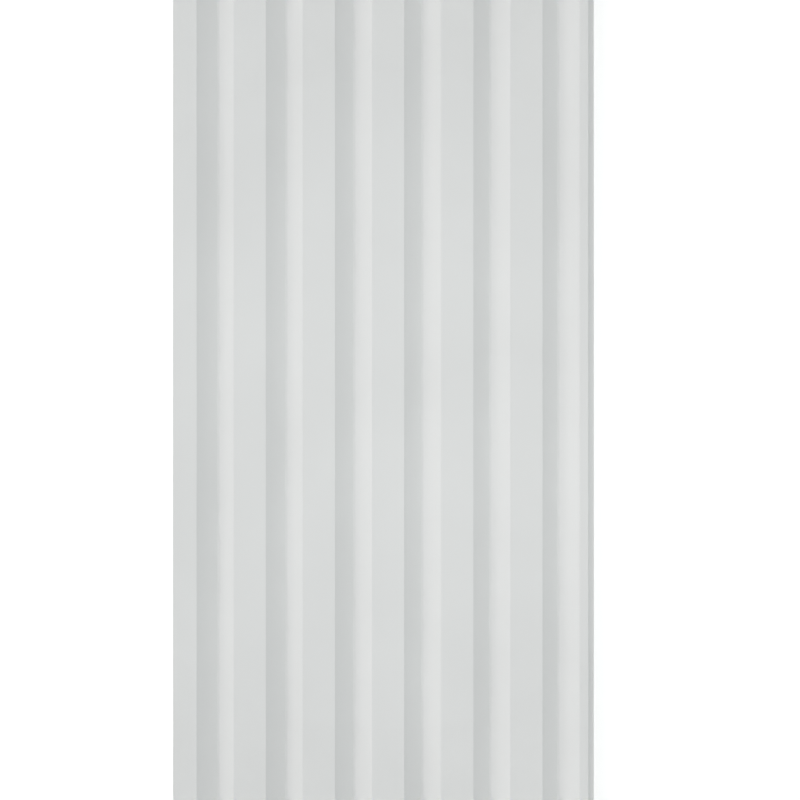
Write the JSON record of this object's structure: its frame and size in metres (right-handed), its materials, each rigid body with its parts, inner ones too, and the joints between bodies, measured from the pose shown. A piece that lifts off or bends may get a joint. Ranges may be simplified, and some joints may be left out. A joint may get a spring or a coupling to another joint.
{
  "type": "concave wall panel",
  "caption": "Long white wall panel with parallel V-shaped flutes along its face, a lip on one long edge and a rebate under the other.",
  "frame": {"origin": "middle of the bounding box on the flat back face, so z = 0 is the face that is glued to the wall", "axes": "+X across the flutes, from the rebated long edge to the edge with the lip, +Y along the flutes, +Z out of the wall face"},
  "size_m": [0.254, 2, 0.016],
  "materials": {
    "primed_foam": "matt white primer on rigid polystyrene foam"
  },
  "bodies": {
    "root": {"wall_panel": "primed_foam"}
  },
  "joints": []
}
